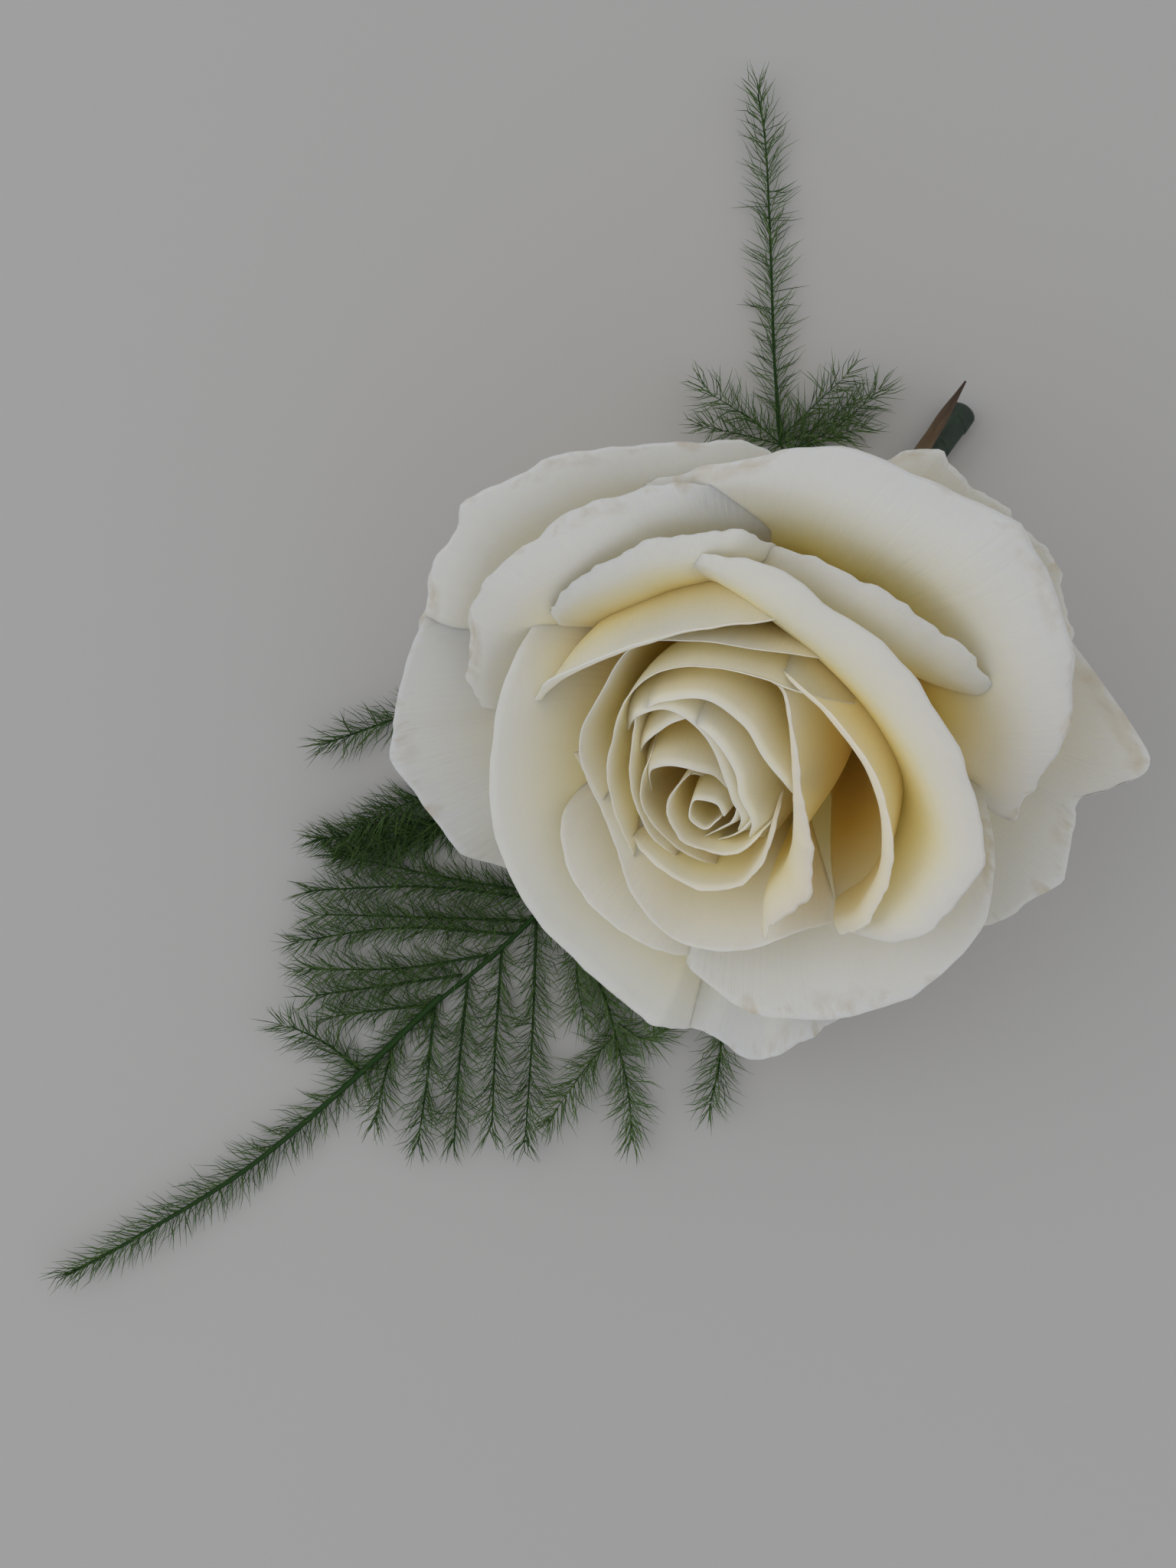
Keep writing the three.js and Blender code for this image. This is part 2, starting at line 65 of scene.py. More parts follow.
# ------------------------------------------------------------------------------------------------------------
# The camera looks straight down from above the table, with the foot of the flower up and right of the middle.
CAMERA_HEIGHT = 350
CAMERA_FROM_FOOT = (-28.4, -16.9)
LENS = 54.5
SENSOR = 36
camera = bpy.data.objects.new("camera", bpy.data.cameras.new("camera"))
camera.data.lens = LENS
camera.data.sensor_width = SENSOR
camera.location = Vector((flower_foot[0] + CAMERA_FROM_FOOT[0], flower_foot[1] + CAMERA_FROM_FOOT[1],
                          CAMERA_HEIGHT)) * MM
bpy.context.scene.collection.objects.link(camera)
bpy.context.scene.camera = camera

# ------------------------------------------------------------------------------------------------------------
# The table is a plain matt board in pale grey. A wide soft window on the left and the white room light it.
TABLE_GREY = (0.5, 0.497, 0.497, 1)
TABLE_SIDE = 3
WINDOW_SIDE = 1.2
WINDOW_POWER = 3.1
WINDOW_PLACE = (-0.85, 0.0, 1.05)
ROOM_LIGHT = 0.57
bpy.context.scene.view_settings.view_transform = "Standard"
table_material = bpy.data.materials.new("table_pale_grey")
table_material.use_nodes = True
table_shader = table_material.node_tree.nodes["Principled BSDF"]
table_shader.inputs["Base Color"].default_value = TABLE_GREY
table_shader.inputs["Roughness"].default_value = 0.6
bpy.ops.mesh.primitive_plane_add(size=TABLE_SIDE)
table = bpy.context.object
table.name = "table"
table.data.materials.append(table_material)

room = bpy.data.worlds.new("room")
room.use_nodes = True
room.node_tree.nodes["Background"].inputs["Color"].default_value = (0.985, 0.99, 1.0, 1)
room.node_tree.nodes["Background"].inputs["Strength"].default_value = ROOM_LIGHT
bpy.context.scene.world = room

window = bpy.data.objects.new("window", bpy.data.lights.new("window", "AREA"))
window.data.size = WINDOW_SIDE
window.data.energy = WINDOW_POWER
window.data.color = (1.0, 0.985, 0.96)
window.location = WINDOW_PLACE
window.rotation_euler = (Vector((0, 0, 0)) - window.location).to_track_quat("-Z", "Y").to_euler()
bpy.context.scene.collection.objects.link(window)

# ------------------------------------------------------------------------------------------------------------
# The petals are thin soft flesh, listed from the heart outwards. Each grows from the hip on a narrow foot,
# widens to its crest and rolls its lip outwards. Rim is the crest as turn, reach and height in the flower's
# frame, and base is the stretch of turn it grows from. Lean is at the foot, then along the crest. Lip is the
# lip's widths, roll its angles, and corners where it is drawn out and how far. The yellow low on each petal
# is partly the rose's own yellow base and partly painted glow, the warm light that fills the deep gaps
# between petals. An exponent of 0.5 makes the petals that lie open to the light at the lower left whiter,
# with less of that painted glow.
PETALS = [
    dict(name="bud_petal_1", rim=[(300, 1.8, 45.5), (255, 3.2, 46), (210, 3.2, 46.5), (150, 2.4, 47),
                                  (60, 1.6, 47.5), (-15, 1.8, 47)],
         base=(290, -10), lean=(5, -8)),
    dict(name="bud_petal_2", rim=[(255, 6, 43), (296, 3, 46), (350, 3, 47), (390, 4, 47), (408, 4, 46)],
         base=(260, 410), lean=(5, -22)),
    dict(name="bud_petal_3", rim=[(272, 6, 43), (316, 4.5, 46), (350, 5, 47), (374, 5.5, 47), (396, 5, 46)],
         base=(270, 400), lean=(5, -22)),
    dict(name="bud_petal_4", rim=[(130, 3, 42), (128, 5, 45.5), (180, 5.5, 46), (215, 6, 45.5),
                                  (250, 6.5, 45), (300, 6.5, 46), (345, 7, 46), (358, 8, 43)],
         base=(125, 355), lean=(5, 0), lip=(0.3, 0.6, 0.3), roll=(60,)),
    dict(name="bud_petal_5", rim=[(200, 10, 39), (162, 9, 44.5), (142, 8.5, 47), (125, 7.5, 48),
                                  (105, 6, 48), (85, 5, 47), (57, 3, 45)],
         base=(190, 40), lean=(6, -25)),
    dict(name="bud_petal_6", rim=[(145, 11, 38), (148, 10, 43.5), (165, 9.5, 44.5), (187, 9.5, 44.5),
                                  (212, 9, 44), (238, 9, 43.5), (262, 10, 42), (272, 13, 36)],
         base=(135, 280), lean=(7, 0), lip=(0.3,), roll=(40,)),
    dict(name="bud_petal_7", rim=[(170, 11.5, 39), (143, 11.5, 44.5), (126, 12, 46.5), (110, 13, 48),
                                  (95, 13.5, 48), (85, 11, 45)],
         base=(180, 60), lean=(8, -25)),
    dict(name="bud_petal_8", rim=[(153, 14, 40), (130, 15, 46.5), (112, 15, 48.5), (98, 13, 49.5),
                                  (86, 10, 49.5), (68, 6, 49), (40, 4, 48.5), (0, 4, 47.5), (-45, 4.5, 45)],
         base=(150, -40), lean=(8, -35)),
    dict(name="bud_petal_9", rim=[(111, 14, 46.5), (98, 13, 49), (86, 11.5, 50), (74, 9.5, 50),
                                  (60, 7.5, 49.5), (40, 5.5, 49), (0, 5.5, 48), (-40, 6, 45)],
         base=(120, -50), lean=(9, -35)),
    dict(name="heart_petal_1", rim=[(149, 14, 40), (123, 15.5, 47), (107, 16.5, 49.5), (90, 16.5, 50),
                                    (72, 14.5, 50), (53, 12, 50), (30, 11.5, 49), (0, 11, 42)],
         base=(150, -20), lean=(9, -25)),
    dict(name="heart_petal_2", rim=[(128, 16, 38), (128, 16, 44), (140, 13.5, 45), (160, 11.5, 45),
                                    (185, 10.5, 44.5), (215, 10.5, 43.5), (232, 10.5, 43), (249, 13, 38)],
         base=(120, 250), lean=(10, 5), lip=(0.3,), roll=(30,)),
    dict(name="heart_petal_3", rim=[(372, 8, 40), (363, 8, 45), (335, 8, 46), (310, 9, 46), (285, 11, 45),
                                    (255, 12, 44.5), (228, 12.5, 43.5), (217, 15, 39)],
         base=(370, 210), lean=(10, 5), lip=(0.6, 1.4, 1, 0.4), roll=(60,)),
    dict(name="heart_petal_4", rim=[(70, 18, 42), (63, 20, 48), (50, 16, 49), (30, 12.5, 49), (8, 11, 48),
                                    (-14, 11, 47), (-36, 11.8, 46), (-58, 13.5, 45), (-70, 18, 42)],
         base=(75, -75), lean=(45, -22, -22, -15, 5, 12), lip=(0.6, 1.6, 2.2, 3.2, 4.8, 6.2, 5, 3),
         roll=(100, 115, 85)),
    dict(name="heart_petal_5", rim=[(43, 23, 42), (55, 22, 47), (75, 20.5, 48), (95, 20.5, 49),
                                    (112, 19.5, 48), (130, 17.5, 46.5), (152, 15, 45), (175, 14, 44.5),
                                    (200, 13.5, 43.5), (227, 17, 39)],
         base=(40, 235), lean=(20, -15, -15, -5, 5, 10), lip=(2, 1.8, 0.6, 0.3, 0.3, 0.3, 0.3, 0.3),
         roll=(40,)),
    dict(name="heart_petal_6", rim=[(71, 20, 42), (63, 22, 48), (48, 22, 49), (28, 22, 49), (8, 22, 48.5),
                                    (-11, 22, 46.5), (-25, 22, 45), (-38, 22.5, 43), (-50, 23, 38)],
         base=(70, -60), lean=(48, -15, -15, -5, 12), lip=(0.6, 2.4, 2.8, 3.2, 2.6), roll=(90,)),
    dict(name="cup_petal_1", rim=[(52, 25, 40), (61, 25.5, 46), (75, 24, 48), (95, 23.2, 48.3),
                                  (115, 23.3, 47.3), (135, 20, 46), (155, 19, 44.5), (170, 18, 43.5),
                                  (185, 16.5, 42), (200, 16.5, 38)],
         base=(50, 210), lean=(30, 5, 0, 5, 12, 15), lip=(0.3,), roll=(30,)),
    dict(name="cup_petal_2", rim=[(169, 27, 34), (151, 25, 42), (130, 24, 46), (108, 24.5, 48),
                                  (88, 26, 48), (73, 28, 46), (64, 28, 39)],
         base=(165, 55), lean=(52, 0, -22, -25, -20), lip=(0.3, 3.4, 3.4, 2.2, 1.5, 1), roll=(70,)),
    dict(name="cup_petal_3", rim=[(182, 21, 34), (186, 18, 39), (205, 16, 41), (222, 17.5, 41),
                                  (239, 20.5, 41), (258, 23.2, 41), (281, 22.5, 41), (299, 21.5, 40.5),
                                  (309, 24, 36)],
         base=(180, 310), lean=(20, 40), lip=(0.5,), roll=(30,), painted_glow_exponent=0.5),
    dict(name="cup_petal_4", rim=[(198, 22, 30), (203, 24, 36), (216, 25.5, 39), (230, 26.4, 39.5),
                                  (242, 26.8, 39.3), (254, 27.4, 38), (262, 29, 33)],
         base=(195, 268), lean=(24, 45), lip=(0.5,), roll=(30,), painted_glow_exponent=0.5),
    dict(name="cup_petal_5", rim=[(140, 29, 37), (133, 30, 41.5), (119, 30.5, 45), (105, 32, 46.5),
                                  (92, 33.5, 47), (84, 34, 46), (79, 31, 40)],
         base=(155, 65), lean=(50, 42, 40, 34), lip=(0.5, 2.7, 3.9, 4.1, 3.9, 3), roll=(82,)),
    dict(name="cup_petal_6", rim=[(98, 31.5, 44), (91, 33, 48.5), (78, 30.5, 50), (55, 28, 50),
                                  (30, 28, 50), (5, 29, 48), (-15, 28, 46), (-32, 26, 43.5), (-50, 24, 37)],
         base=(100, -55), lean=(48, 36, 38, 40, 42, 44), lip=(0.3, 2, 5.8, 7, 6.6, 5.8, 4.8, 4, 2),
         roll=(76, 84, 76, 64, 55)),
    dict(name="cup_petal_7", rim=[(88, 30, 37), (80, 31.3, 43), (66, 31, 45), (53, 31, 45),
                                  (41, 32.5, 43.5), (31, 34, 40), (24, 34, 34)],
         base=(85, 20), lean=(52, 44, 44), lip=(2.3, 4.2, 6.4, 7.2, 6.4, 4.2, 2), roll=(70,)),
    dict(name="cup_petal_8", rim=[(139, 29, 28), (140, 31, 35), (155, 30, 40), (180, 30, 40), (205, 32, 39),
                                  (225, 34, 38), (240, 35, 37), (254, 38.5, 36.5), (259, 39.5, 35),
                                  (263, 43, 28)],
         base=(140, 265), lean=(36, 55), lip=(0.8, 1.2, 2, 1.5), roll=(40,), painted_glow_exponent=0.5),
    dict(name="outer_petal_1", rim=[(179, 34, 28), (162, 34, 35), (140, 34.5, 41), (118, 35, 44),
                                    (101, 36.5, 44), (90, 35.5, 41), (83, 33, 35)],
         base=(175, 78), lean=(52, 52, 50, 48), lip=(2.5, 4.2, 6.1, 6.5, 5.7, 3.3), roll=(52,)),
    dict(name="outer_petal_2", rim=[(0, 29, 26), (-4, 32.5, 35), (-15, 35, 38), (-35, 36.8, 38),
                                    (-54, 36, 38), (-70, 35.3, 37), (-85, 33, 37), (-98, 29, 37),
                                    (-101, 29, 33)],
         base=(5, -105), lean=(36, 58), lip=(1,), roll=(40,), painted_glow_exponent=0.5,
         corners=((0.3, 0.5), (0.46, 0.8), (0.7, 0.5))),
    dict(name="outer_petal_3", rim=[(109, 38, 34), (98, 40, 41.5), (80, 41.5, 43), (60, 40, 42),
                                    (42, 38, 40), (22, 36, 38), (8, 34, 35), (-8, 33, 28)],
         base=(105, -15), lean=(54, 54, 52, 54, 55), lip=(0.5, 2.2, 5.6, 11.2, 14.4, 12.4, 8.4, 5.4, 3),
         roll=(50,), corners=((0.52, 0.8), (0.66, 1.4))),
    dict(name="outer_petal_4", rim=[(156, 42, 14), (158, 43, 24), (165, 45.2, 30), (178, 46.4, 32),
                                    (186, 47.6, 31), (197, 46, 30), (208, 44, 28), (220, 44, 18)],
         base=(150, 225), lean=(44, 62), lip=(0.8,), roll=(35,), painted_glow_exponent=0.5,
         corners=((0.2, 0.5), (0.6, 1.0), (0.86, 0.7))),
    dict(name="outer_petal_5", rim=[(182, 43, 18), (160, 41, 29), (137, 41, 34), (114, 40, 36),
                                    (91, 38, 33), (80, 35, 25)],
         base=(180, 75), lean=(58, 57, 52), lip=(3.2, 5.2, 5.6, 5.6, 5.6, 7.2, 7, 6.6, 6.4, 6.6, 5.4, 3.2),
         roll=(36,), corners=((0.29, 0.8), (0.41, 1.8))),
    dict(name="outer_petal_6", rim=[(248, 48, 22), (257, 44, 29), (266, 42, 32), (275, 45, 32),
                                    (284, 42, 31), (289, 41, 29), (296, 43, 22)],
         base=(235, 300), lean=(46, 64), lip=(0.8,), roll=(35,), painted_glow_exponent=0.5),
    dict(name="outer_petal_7", rim=[(74, 34, 16), (64, 40, 26), (52, 42, 28), (40, 42, 26.5), (21, 38, 18)],
         base=(80, 10), lean=(60, 35), lip=(3, 7, 12, 8.5, 8.5, 9, 8, 6), roll=(45,),
         corners=((0.27, 1.0), (0.54, 0.8))),
    dict(name="outer_petal_8", rim=[(28, 38, 8), (18, 43.5, 18), (4, 50.5, 24), (-1, 47, 24.5),
                                    (-4, 42.4, 25), (-9, 43, 25.5), (-17, 43.5, 26), (-24, 42, 26),
                                    (-33, 41, 23), (-44, 41, 17)],
         base=(30, -50), lean=(56, 60), lip=(0.8,), roll=(35,), painted_glow_exponent=0.5,
         corners=((0.225, 0.5), (0.5, 0.5), (0.68, 0.6))),
    dict(name="outer_petal_9", rim=[(211, 47, 14), (219, 47, 16), (230, 47, 19), (241, 47, 19),
                                    (250, 47, 17), (256, 46, 15)],
         base=(205, 262), lean=(50, 60), lip=(0.5,), roll=(30,), painted_glow_exponent=0.5),
]

HIP_RADIUS = 7.5
HIP_HALF_LENGTH = 6.5
FOOT_RADII = (1.2, 6.8)
FOOT_RISE = 0.6
CLAW = 0.5
FOOT_FLARE = 0.4
CREST_DROP = 0.35
FRILL = 0.3
CORNER_SPREAD = 0.085
LEAST_LIP = 0.15
WAVES = {"bud": 0.1, "heart": 0.2, "cup": 0.35, "outer": 0.7}
PETAL_THICKNESS = 0.3
COLUMNS = 72
BODY_ROWS = 30
LIP_ROWS = 14


def ring(turn, reach, height):
    """Points of the flower's frame from turn in degrees, reach and height."""
    angle = np.radians(turn)
    return np.stack([reach * np.cos(angle), reach * np.sin(angle), height + 0 * angle], -1)


def smooth_through(points, u):
    """A smooth curve through the points, at each u from 0 to 1."""
    points = np.asarray(points, float)
    points = np.vstack([2 * points[0] - points[1], points, 2 * points[-1] - points[-2]])
    place = np.clip(u, 0, 1) * (len(points) - 3)
    step = np.minimum(place.astype(int), len(points) - 4)
    t = (place - step)[:, None]
    a, b, c, d = (points[step + k] for k in range(4))
    return b + 0.5 * t * (c - a + t * (2 * a - 5 * b + 4 * c - d + t * (3 * (b - c) + d - a)))


def ripple(seed, u):
    """A gentle random wave along the rim, between about -1 and 1."""
    draw = np.random.default_rng(seed)
    waves = [(rate, draw.uniform(0, 2 * math.pi), draw.uniform(0.4, 1)) for rate in (1.3, 2.7, 4.9, 8.3)]
    return sum(size * np.sin(2 * math.pi * rate * u + phase) / rate for rate, phase, size in waves)


def frill(seed, u):
    """A fine uneven edge, between about -1 and 1."""
    draw = np.random.default_rng(900 + seed)
    waves = [(rate, draw.uniform(0, 2 * math.pi), draw.uniform(0.5, 1)) for rate in (4.3, 7.1, 12.7, 21.1)]
    return sum(size * np.sin(2 * math.pi * rate * u + phase) * (4.3 / rate) ** 0.8
               for rate, phase, size in waves) / 2


def along(values, u):
    """Evenly spaced values, read off at each u from 0 to 1."""
    return np.interp(u, np.linspace(0, 1, len(values)), values)


def unit(vectors):
    """The vectors, each made one long."""
    return vectors / (np.linalg.norm(vectors, axis=-1, keepdims=True) + 1e-9)


def surface_normals(grid):
    """The direction that each point of a grid faces."""
    return unit(np.cross(np.gradient(grid, axis=1), np.gradient(grid, axis=0)))


def petal_points(petal, order):
    """The middle surface of a petal, rows from the foot to the lip, with how far up each row is."""
    u = np.linspace(0, 1, COLUMNS + 1)
    crest = smooth_through([ring(*station) for station in petal["rim"]], u)
    start, end = petal["base"]
    turn = start + (end - start) * u
    foot_turn = start + (end - start) * (0.5 + CLAW * (u - 0.5))
    foot_radius = FOOT_RADII[0] + (FOOT_RADII[1] - FOOT_RADII[0]) * order / (len(PETALS) - 1)
    hip_skin = HIP_MIDDLE + HIP_HALF_LENGTH * math.sqrt(1 - (foot_radius / HIP_RADIUS) ** 2)
    foot = ring(foot_turn, foot_radius, hip_skin + FOOT_RISE)
    outwards = ring(turn, 1, 0)
    upwards = np.array([0.0, 0.0, 1.0])

    def slope(lean):
        return np.sin(lean) * outwards + np.cos(lean) * upwards

    foot_lean = math.radians(petal["lean"][0])
    crest_lean = along(np.radians(petal["lean"][1:]), u)[:, None]
    length = np.linalg.norm(crest - foot, axis=1)[:, None]
    low = foot + FOOT_FLARE * length * slope(foot_lean)
    high = crest - CREST_DROP * length * slope(crest_lean)
    rows = []
    for t in np.linspace(0, 1, BODY_ROWS + 1):
        s = 1 - t
        rows.append(s**3 * foot + 3 * s * s * t * low + 3 * s * t * t * high + t**3 * crest)
    if "lip" in petal:
        roll = along(np.radians(petal["roll"]), u)[:, None]
        width = along(petal["lip"], u) + FRILL * math.sqrt(max(petal["lip"])) * frill(order, u)
        for place, reach in petal.get("corners", ()):
            width = width + reach * np.clip(1 - np.abs(u - place) / CORNER_SPREAD, 0, 1) ** 1.3
        width = width.clip(LEAST_LIP)[:, None]
        for t in np.linspace(0, 1, LIP_ROWS + 1)[1:]:
            rows.append(crest + width / roll * (np.sin(roll * t) * slope(crest_lean)
                                                + (1 - np.cos(roll * t)) * slope(crest_lean + math.pi / 2)))
    grid = np.stack(rows)
    run = np.linalg.norm(np.diff(grid, axis=0), axis=2).cumsum(axis=0)
    climb = np.vstack([np.zeros(len(u)), run])
    return grid, climb / climb[-1]


def sheet_mesh(name, grid, climb, thickness, warmth=None):
    """A closed sheet about the grid, thinner at its lip, with columns and warmth mapped for the material.
    On a petal the warmth is partly its own yellow and partly painted glow of the deep gaps.
    """
    normal = surface_normals(grid)
    rows, columns = grid.shape[:2]
    half = (thickness / 2 * (1 - 0.5 * climb**4))[..., None]
    points = np.concatenate([(grid + side * half * normal).reshape(-1, 3) for side in (-1, 1)])
    index = np.arange(rows * columns).reshape(rows, columns)
    back = index + rows * columns
    a, b, c, d = index[:-1, :-1], index[:-1, 1:], index[1:, 1:], index[1:, :-1]
    front_quads = np.stack([a, d, c, b], -1).reshape(-1, 4)
    back_quads = np.stack([a, b, c, d], -1).reshape(-1, 4) + rows * columns
    edges = np.concatenate([index[0], index[1:, -1], index[-1, -2::-1], index[-2:0:-1, 0]])
    others = np.concatenate([back[0], back[1:, -1], back[-1, -2::-1], back[-2:0:-1, 0]])
    rim_quads = np.stack([edges, np.roll(edges, -1), np.roll(others, -1), others], -1)
    quads = np.concatenate([front_quads, back_quads, rim_quads])
    mesh = bpy.data.meshes.new(name)
    mesh.from_pydata((leaned(points) * MM).tolist(), [], quads.tolist())
    across = np.tile(np.linspace(0, 1, columns), (rows, 1)).ravel()
    warmth = climb if warmth is None else warmth
    mapped = np.tile(np.stack([across, warmth.ravel()], -1), (2, 1))
    layer = mesh.uv_layers.new(name="petal_map")
    layer.data.foreach_set("uv", mapped[quads.ravel()].astype(np.float32).ravel())
    mesh.polygons.foreach_set("use_smooth", np.ones(len(quads), bool))
    mesh.update()
    return mesh


def colour_ramp(tree, stops):
    """A ramp node through the stops, each a position and a colour."""
    ramp = tree.nodes.new("ShaderNodeValToRGB")
    ramp.color_ramp.elements.remove(ramp.color_ramp.elements[1])
    for number, (position, colour) in enumerate(stops):
        element = ramp.color_ramp.elements.new(position) if number else ramp.color_ramp.elements[0]
        element.position = position
        element.color = (*colour, 1)
    return ramp


def roughen(tree, height, strength, depth):
    """Raises the shader's surface by up to depth where the height is high."""
    bump = tree.nodes.new("ShaderNodeBump")
    bump.inputs["Strength"].default_value = strength
    bump.inputs["Distance"].default_value = depth * MM
    tree.links.new(height, bump.inputs["Height"])
    tree.links.new(bump.outputs["Normal"], tree.nodes["Principled BSDF"].inputs["Normal"])


def petal_material(name, colours, vein, bruise):
    """Petal flesh that lets light through: colours from foot to rim, fine veins, brown spots on its edge."""
    material = bpy.data.materials.new(name)
    material.use_nodes = True
    tree = material.node_tree
    shader = tree.nodes["Principled BSDF"]
    shader.inputs["Roughness"].default_value = 0.62
    shader.inputs["Subsurface Weight"].default_value = 0.6
    shader.inputs["Subsurface Radius"].default_value = (1.0, 0.85, 0.55)
    shader.inputs["Subsurface Scale"].default_value = 2 * MM
    shader.inputs["Specular IOR Level"].default_value = 0.3
    place = tree.nodes.new("ShaderNodeUVMap")
    place.uv_map = "petal_map"
    split = tree.nodes.new("ShaderNodeSeparateXYZ")
    tree.links.new(place.outputs["UV"], split.inputs[0])
    ramp = colour_ramp(tree, colours)
    tree.links.new(split.outputs["Y"], ramp.inputs["Fac"])
    near_edge = tree.nodes.new("ShaderNodeMapRange")
    near_edge.inputs["From Min"].default_value = 0.955
    near_edge.inputs["To Max"].default_value = bruise
    tree.links.new(split.outputs["Y"], near_edge.inputs["Value"])
    spots = tree.nodes.new("ShaderNodeTexNoise")
    spots.inputs["Scale"].default_value = 9
    spots.inputs["Detail"].default_value = 5
    tree.links.new(place.outputs["UV"], spots.inputs["Vector"])
    browned = tree.nodes.new("ShaderNodeMapRange")
    browned.inputs["From Min"].default_value = 0.5
    browned.inputs["From Max"].default_value = 0.64
    tree.links.new(spots.outputs["Fac"], browned.inputs["Value"])
    share = tree.nodes.new("ShaderNodeMath")
    share.operation = "MULTIPLY"
    tree.links.new(near_edge.outputs["Result"], share.inputs[0])
    tree.links.new(browned.outputs["Result"], share.inputs[1])
    stained = tree.nodes.new("ShaderNodeMix")
    stained.data_type = "RGBA"
    stained.inputs["B"].default_value = (0.42, 0.27, 0.12, 1)
    tree.links.new(share.outputs[0], stained.inputs["Factor"])
    tree.links.new(ramp.outputs["Color"], stained.inputs["A"])
    tree.links.new(stained.outputs["Result"], shader.inputs["Base Color"])
    fan = tree.nodes.new("ShaderNodeMapping")
    fan.inputs["Scale"].default_value = (1, 0.05, 1)
    tree.links.new(place.outputs["UV"], fan.inputs["Vector"])
    veins = tree.nodes.new("ShaderNodeTexNoise")
    veins.inputs["Scale"].default_value = 90
    veins.inputs["Detail"].default_value = 4
    tree.links.new(fan.outputs["Vector"], veins.inputs["Vector"])
    roughen(tree, veins.outputs["Fac"], vein, 0.3)
    return material


def place_piece(name, mesh, material, node):
    """The piece takes its material, rides on the posy and stands for its solid in the frame."""
    piece = bpy.data.objects.new(name, mesh)
    bpy.context.scene.collection.objects.link(piece)
    mesh.materials.append(material)
    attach(piece, "root")
    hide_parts(node)


# The yellow at the foot of each ramp is partly the rose's own yellow base and partly painted light: it is
# deepened to stand for the warm glow of light shining through and between the petals in the deep gaps.
heart_material = petal_material(
    "petal_heart_cream",
    [(0.0, (0.97, 0.64, 0.16)), (0.75, (0.98, 0.73, 0.27)), (0.91, (0.98, 0.84, 0.47)),
     (0.975, (0.98, 0.91, 0.67)), (1.0, (0.95, 0.91, 0.75))],
    vein=0.15, bruise=0.0)
cup_material = petal_material(
    "petal_cup_cream",
    [(0.0, (0.96, 0.6, 0.14)), (0.6, (0.97, 0.68, 0.2)), (0.8, (0.97, 0.81, 0.41)),
     (0.91, (0.94, 0.875, 0.64)), (1.0, (0.87, 0.868, 0.8))],
    vein=0.25, bruise=0.15)
outer_material = petal_material(
    "petal_outer_white",
    [(0.0, (0.93, 0.6, 0.15)), (0.5, (0.95, 0.69, 0.23)), (0.68, (0.94, 0.8, 0.42)),
     (0.82, (0.91, 0.875, 0.71)), (0.92, (0.84, 0.83, 0.76)), (1.0, (0.8, 0.798, 0.75))],
    vein=0.55, bruise=0.8)
PETAL_LOOKS = {"bud": (heart_material, "petal_heart"), "heart": (heart_material, "petal_heart"),
               "cup": (cup_material, "petal_outer"), "outer": (outer_material, "petal_outer")}

for order, petal in enumerate(PETALS):
    grid, climb = petal_points(petal, order)
    group = petal["name"].split("_")[0]
    u = np.linspace(0, 1, grid.shape[1])
    wave = WAVES[group] * ripple(order, u)[None, :] * climb**3
    grid = grid + wave[..., None] * surface_normals(grid)
    # The ramp is read at the climb raised to the petal's exponent, so petals that lie open to the light show
    # less of the painted gap glow.
    mesh = sheet_mesh(petal["name"], grid, climb, PETAL_THICKNESS, climb ** petal.get("painted_glow_exponent", 1))
    material, slot = PETAL_LOOKS[group]
    place_piece("visual_" + petal["name"], mesh, material, petal["name"])

# ------------------------------------------------------------------------------------------------------------
# The hip is the green swelling under the petals that carries them. It is waxy and a little ribbed, and it
# narrows into the stem. Its skin stays just inside the ball that the frame holds.
HIP_RIBS = 10
RIB_DEPTH = 0.024
HIP_SHARE = 0.97
HIP_SIDES = 60
HIP_ROWS = 40


def tube_quads(steps, sides):
    """Faces between each ring of points and the next, as rows of point numbers."""
    index = np.arange(steps * sides).reshape(steps, sides)
    here, there = index[:-1], index[1:]
    return np.stack([here, np.roll(here, -1, 1), np.roll(there, -1, 1), there], -1).reshape(-1, 4)


def round_mesh(name, rings):
    """A skin over rings of points, each ring the same count, with fans over the two ends."""
    steps, sides = rings.shape[:2]
    last_ring = (steps - 1) * sides
    first, last = steps * sides, steps * sides + 1
    points = rings.reshape(-1, 3).tolist() + [rings[0].mean(0).tolist(), rings[-1].mean(0).tolist()]
    faces = tube_quads(steps, sides).tolist()
    faces += [[first, (i + 1) % sides, i] for i in range(sides)]
    faces += [[last, last_ring + i, last_ring + (i + 1) % sides] for i in range(sides)]
    mesh = bpy.data.meshes.new(name)
    mesh.from_pydata((np.array(points) * MM).tolist(), [], faces)
    mesh.polygons.foreach_set("use_smooth", np.ones(len(faces), bool))
    mesh.update()
    return mesh


def plant_material(name, dark, light, roughness, grain):
    """Waxy plant skin that shifts between two colours in soft patches, with a fine grain in its surface."""
    material = bpy.data.materials.new(name)
    material.use_nodes = True
    tree = material.node_tree
    shader = tree.nodes["Principled BSDF"]
    shader.inputs["Roughness"].default_value = roughness
    place = tree.nodes.new("ShaderNodeTexCoord")
    patches = tree.nodes.new("ShaderNodeTexNoise")
    patches.inputs["Scale"].default_value = 260
    patches.inputs["Detail"].default_value = 5
    tree.links.new(place.outputs["Object"], patches.inputs["Vector"])
    ramp = colour_ramp(tree, [(0.35, dark), (0.68, light)])
    tree.links.new(patches.outputs["Fac"], ramp.inputs["Fac"])
    tree.links.new(ramp.outputs["Color"], shader.inputs["Base Color"])
    fine = tree.nodes.new("ShaderNodeTexNoise")
    fine.inputs["Scale"].default_value = grain
    fine.inputs["Detail"].default_value = 3
    tree.links.new(place.outputs["Object"], fine.inputs["Vector"])
    roughen(tree, fine.outputs["Fac"], 0.35, 0.15)
    return material


